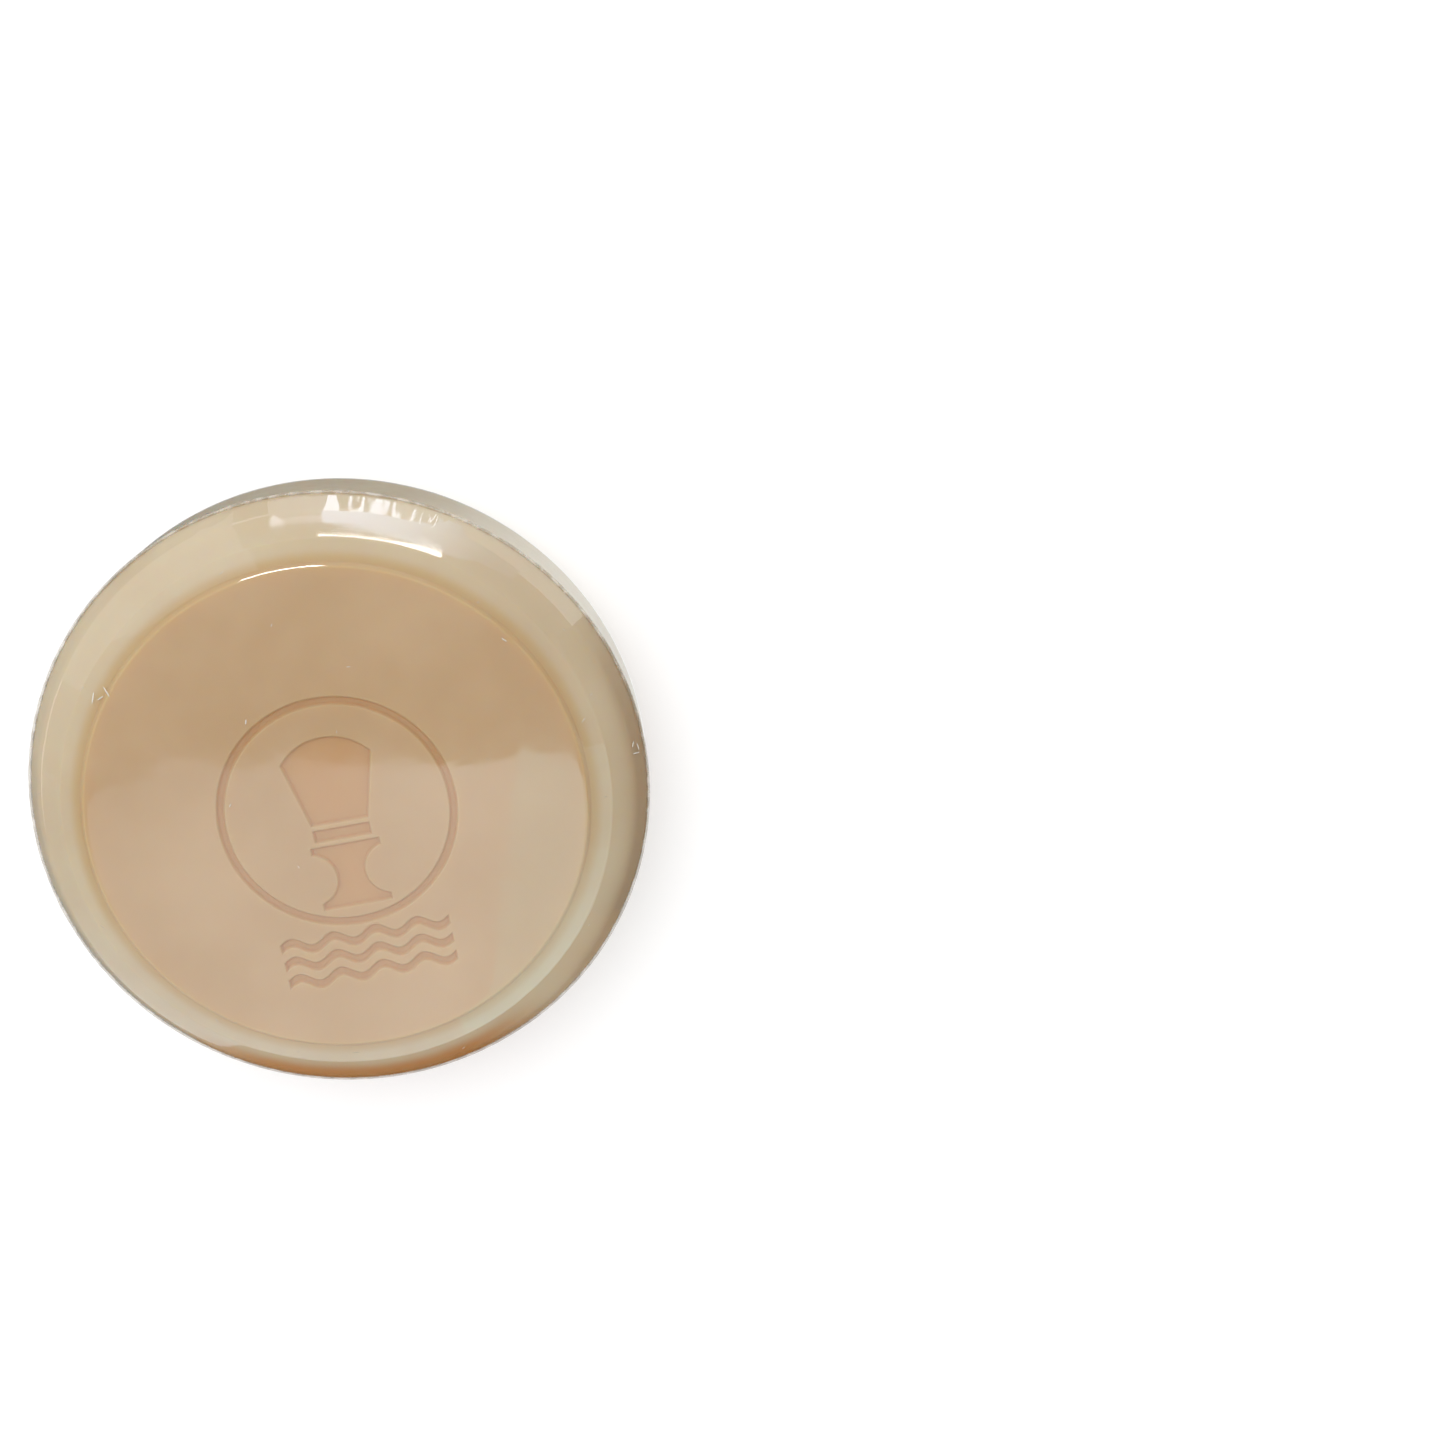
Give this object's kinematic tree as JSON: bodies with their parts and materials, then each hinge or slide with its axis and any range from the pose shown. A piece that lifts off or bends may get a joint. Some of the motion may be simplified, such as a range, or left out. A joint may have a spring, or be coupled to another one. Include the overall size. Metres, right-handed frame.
{
  "type": "shaving soap puck",
  "caption": "Round shaving soap puck with a raised face, ledge, bevelled shoulders and straight waist band, wrapped in clear shrink film with a welded seam.",
  "frame": {"origin": "on the lowest plane, under the centre of the puck as it lies flat on its back face", "axes": "+Z along the puck's axis, out of the marked front face; +Y towards the top of the mark; +X to the right of the mark"},
  "size_m": [0.0714, 0.0714, 0.0232],
  "materials": {
    "soap": "satin, slightly translucent pressed soap",
    "back_film": "clear glossy shrink film",
    "front_film": "clear glossy shrink film",
    "seam": "clear welded film bead"
  },
  "bodies": {
    "root": {"soap_puck": "soap", "back_film": "back_film", "front_film": "front_film", "film_seam": "seam"}
  },
  "joints": []
}
